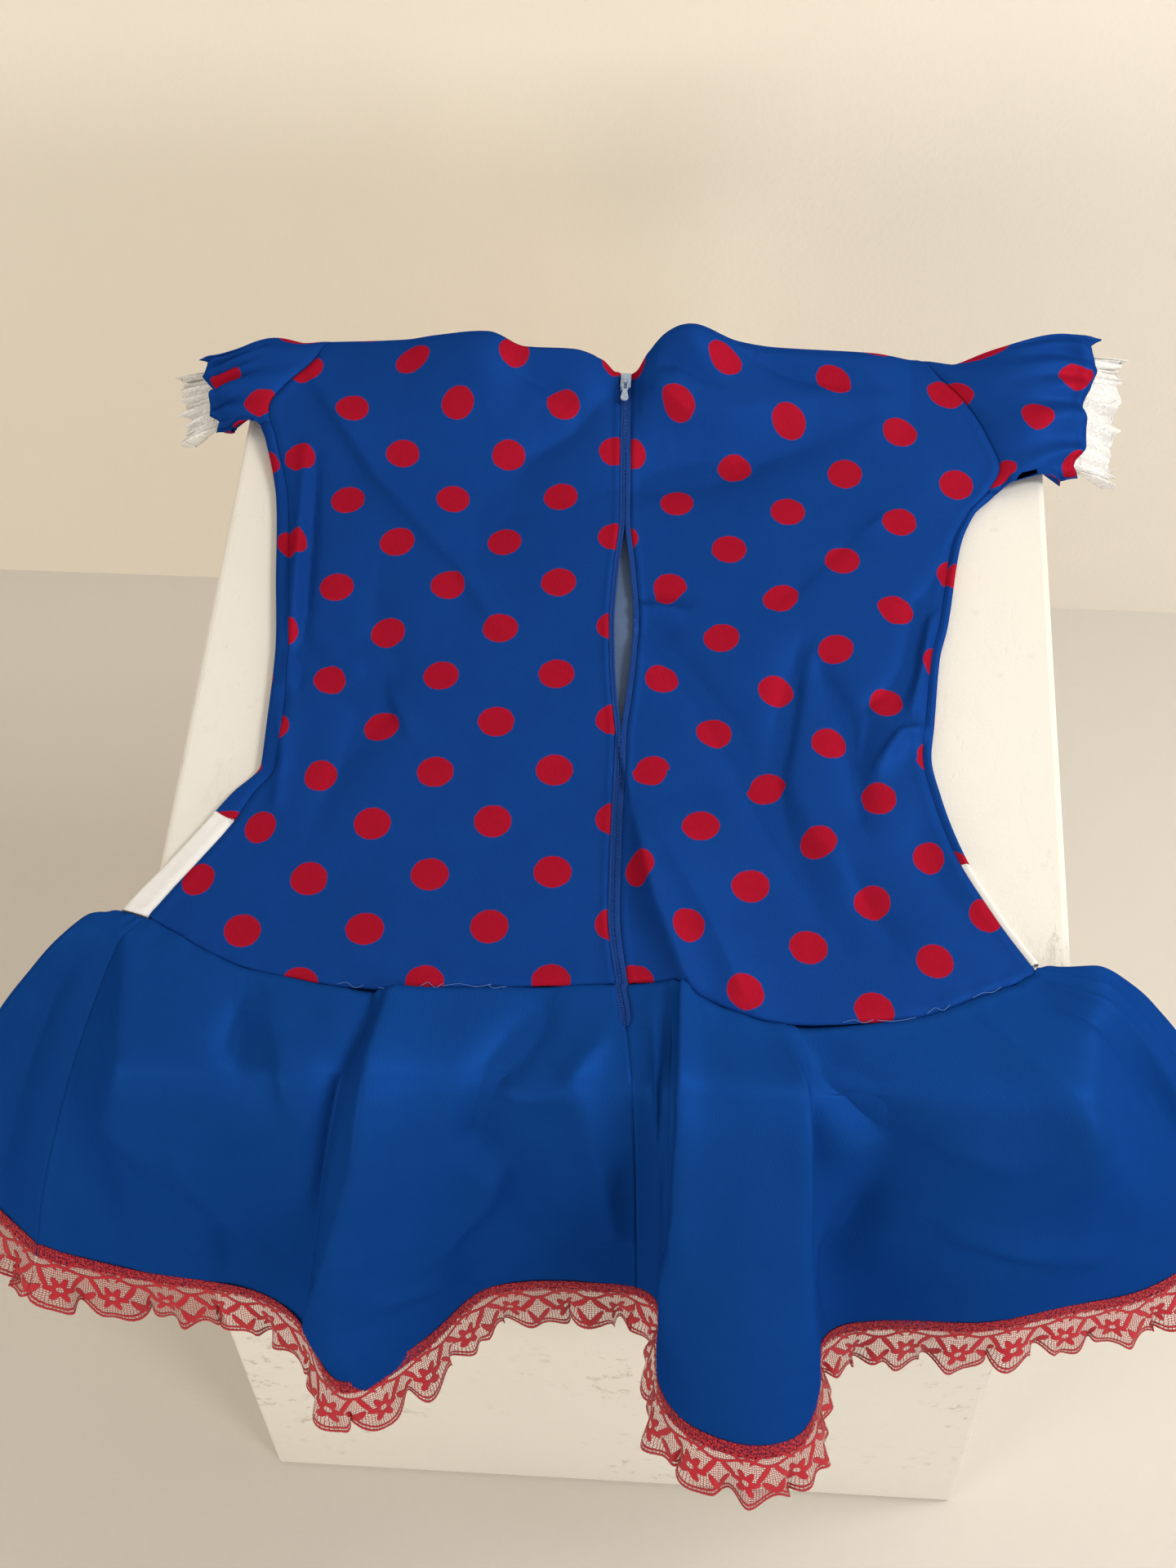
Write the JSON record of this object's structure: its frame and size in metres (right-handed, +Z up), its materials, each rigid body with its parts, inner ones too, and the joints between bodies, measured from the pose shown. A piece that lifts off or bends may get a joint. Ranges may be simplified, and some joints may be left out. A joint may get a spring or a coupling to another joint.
{
  "type": "rag doll costume dress on a display plinth",
  "caption": "Short puff-sleeved costume dress with dotted bodice, back zip and lace-edged circular flounce, laid face down on a square display plinth.",
  "frame": {"origin": "centre of the plinth's underside", "axes": "+Z up, -Y the plinth's front, over which the skirt hangs, +X to the viewer's right"},
  "size_m": [0.8294, 0.6648, 0.6818],
  "materials": {
    "painted_board": "matt white paint on board, scuffed",
    "dotted_satin": "royal blue stretch satin with crimson dots",
    "white_satin": "white satin",
    "zip_tape": "woven tape with nylon teeth",
    "zip_metal": "pale blue-grey enamel",
    "blue_satin": "plain royal blue satin",
    "red_lace": "red galloon lace",
    "white_lace": "white gathered trim"
  },
  "bodies": {
    "root": {"plinth": "painted_board", "back_left": "dotted_satin", "back_right": "dotted_satin", "front_bodice": "dotted_satin", "front_white": "white_satin", "zip_tape_left": "zip_tape", "zip_tape_right": "zip_tape", "zip_slider": "zip_metal", "flounce_back_left": "blue_satin", "flounce_back_right": "blue_satin", "flounce_side_right": "blue_satin", "flounce_front_left": "blue_satin", "flounce_front": "blue_satin", "flounce_front_right": "blue_satin", "lace_back_left": "red_lace", "lace_back_right": "red_lace", "lace_front_left": "red_lace", "lace_front": "red_lace", "lace_front_right": "red_lace", "sleeve_left": "dotted_satin", "cuff_frill_left": "white_lace", "sleeve_right": "dotted_satin", "cuff_frill_right": "white_lace"},
    "pull_tab": {"zip_pull": "zip_metal"}
  },
  "joints": [
    {"name": "pull_tab_swing", "type": "hinge", "parent": "root", "child": "pull_tab", "pos_m": [-0.0113, 0.23246, 0.65743], "axis": [-1, 0, 0], "range_deg": [0, 150]}
  ]
}
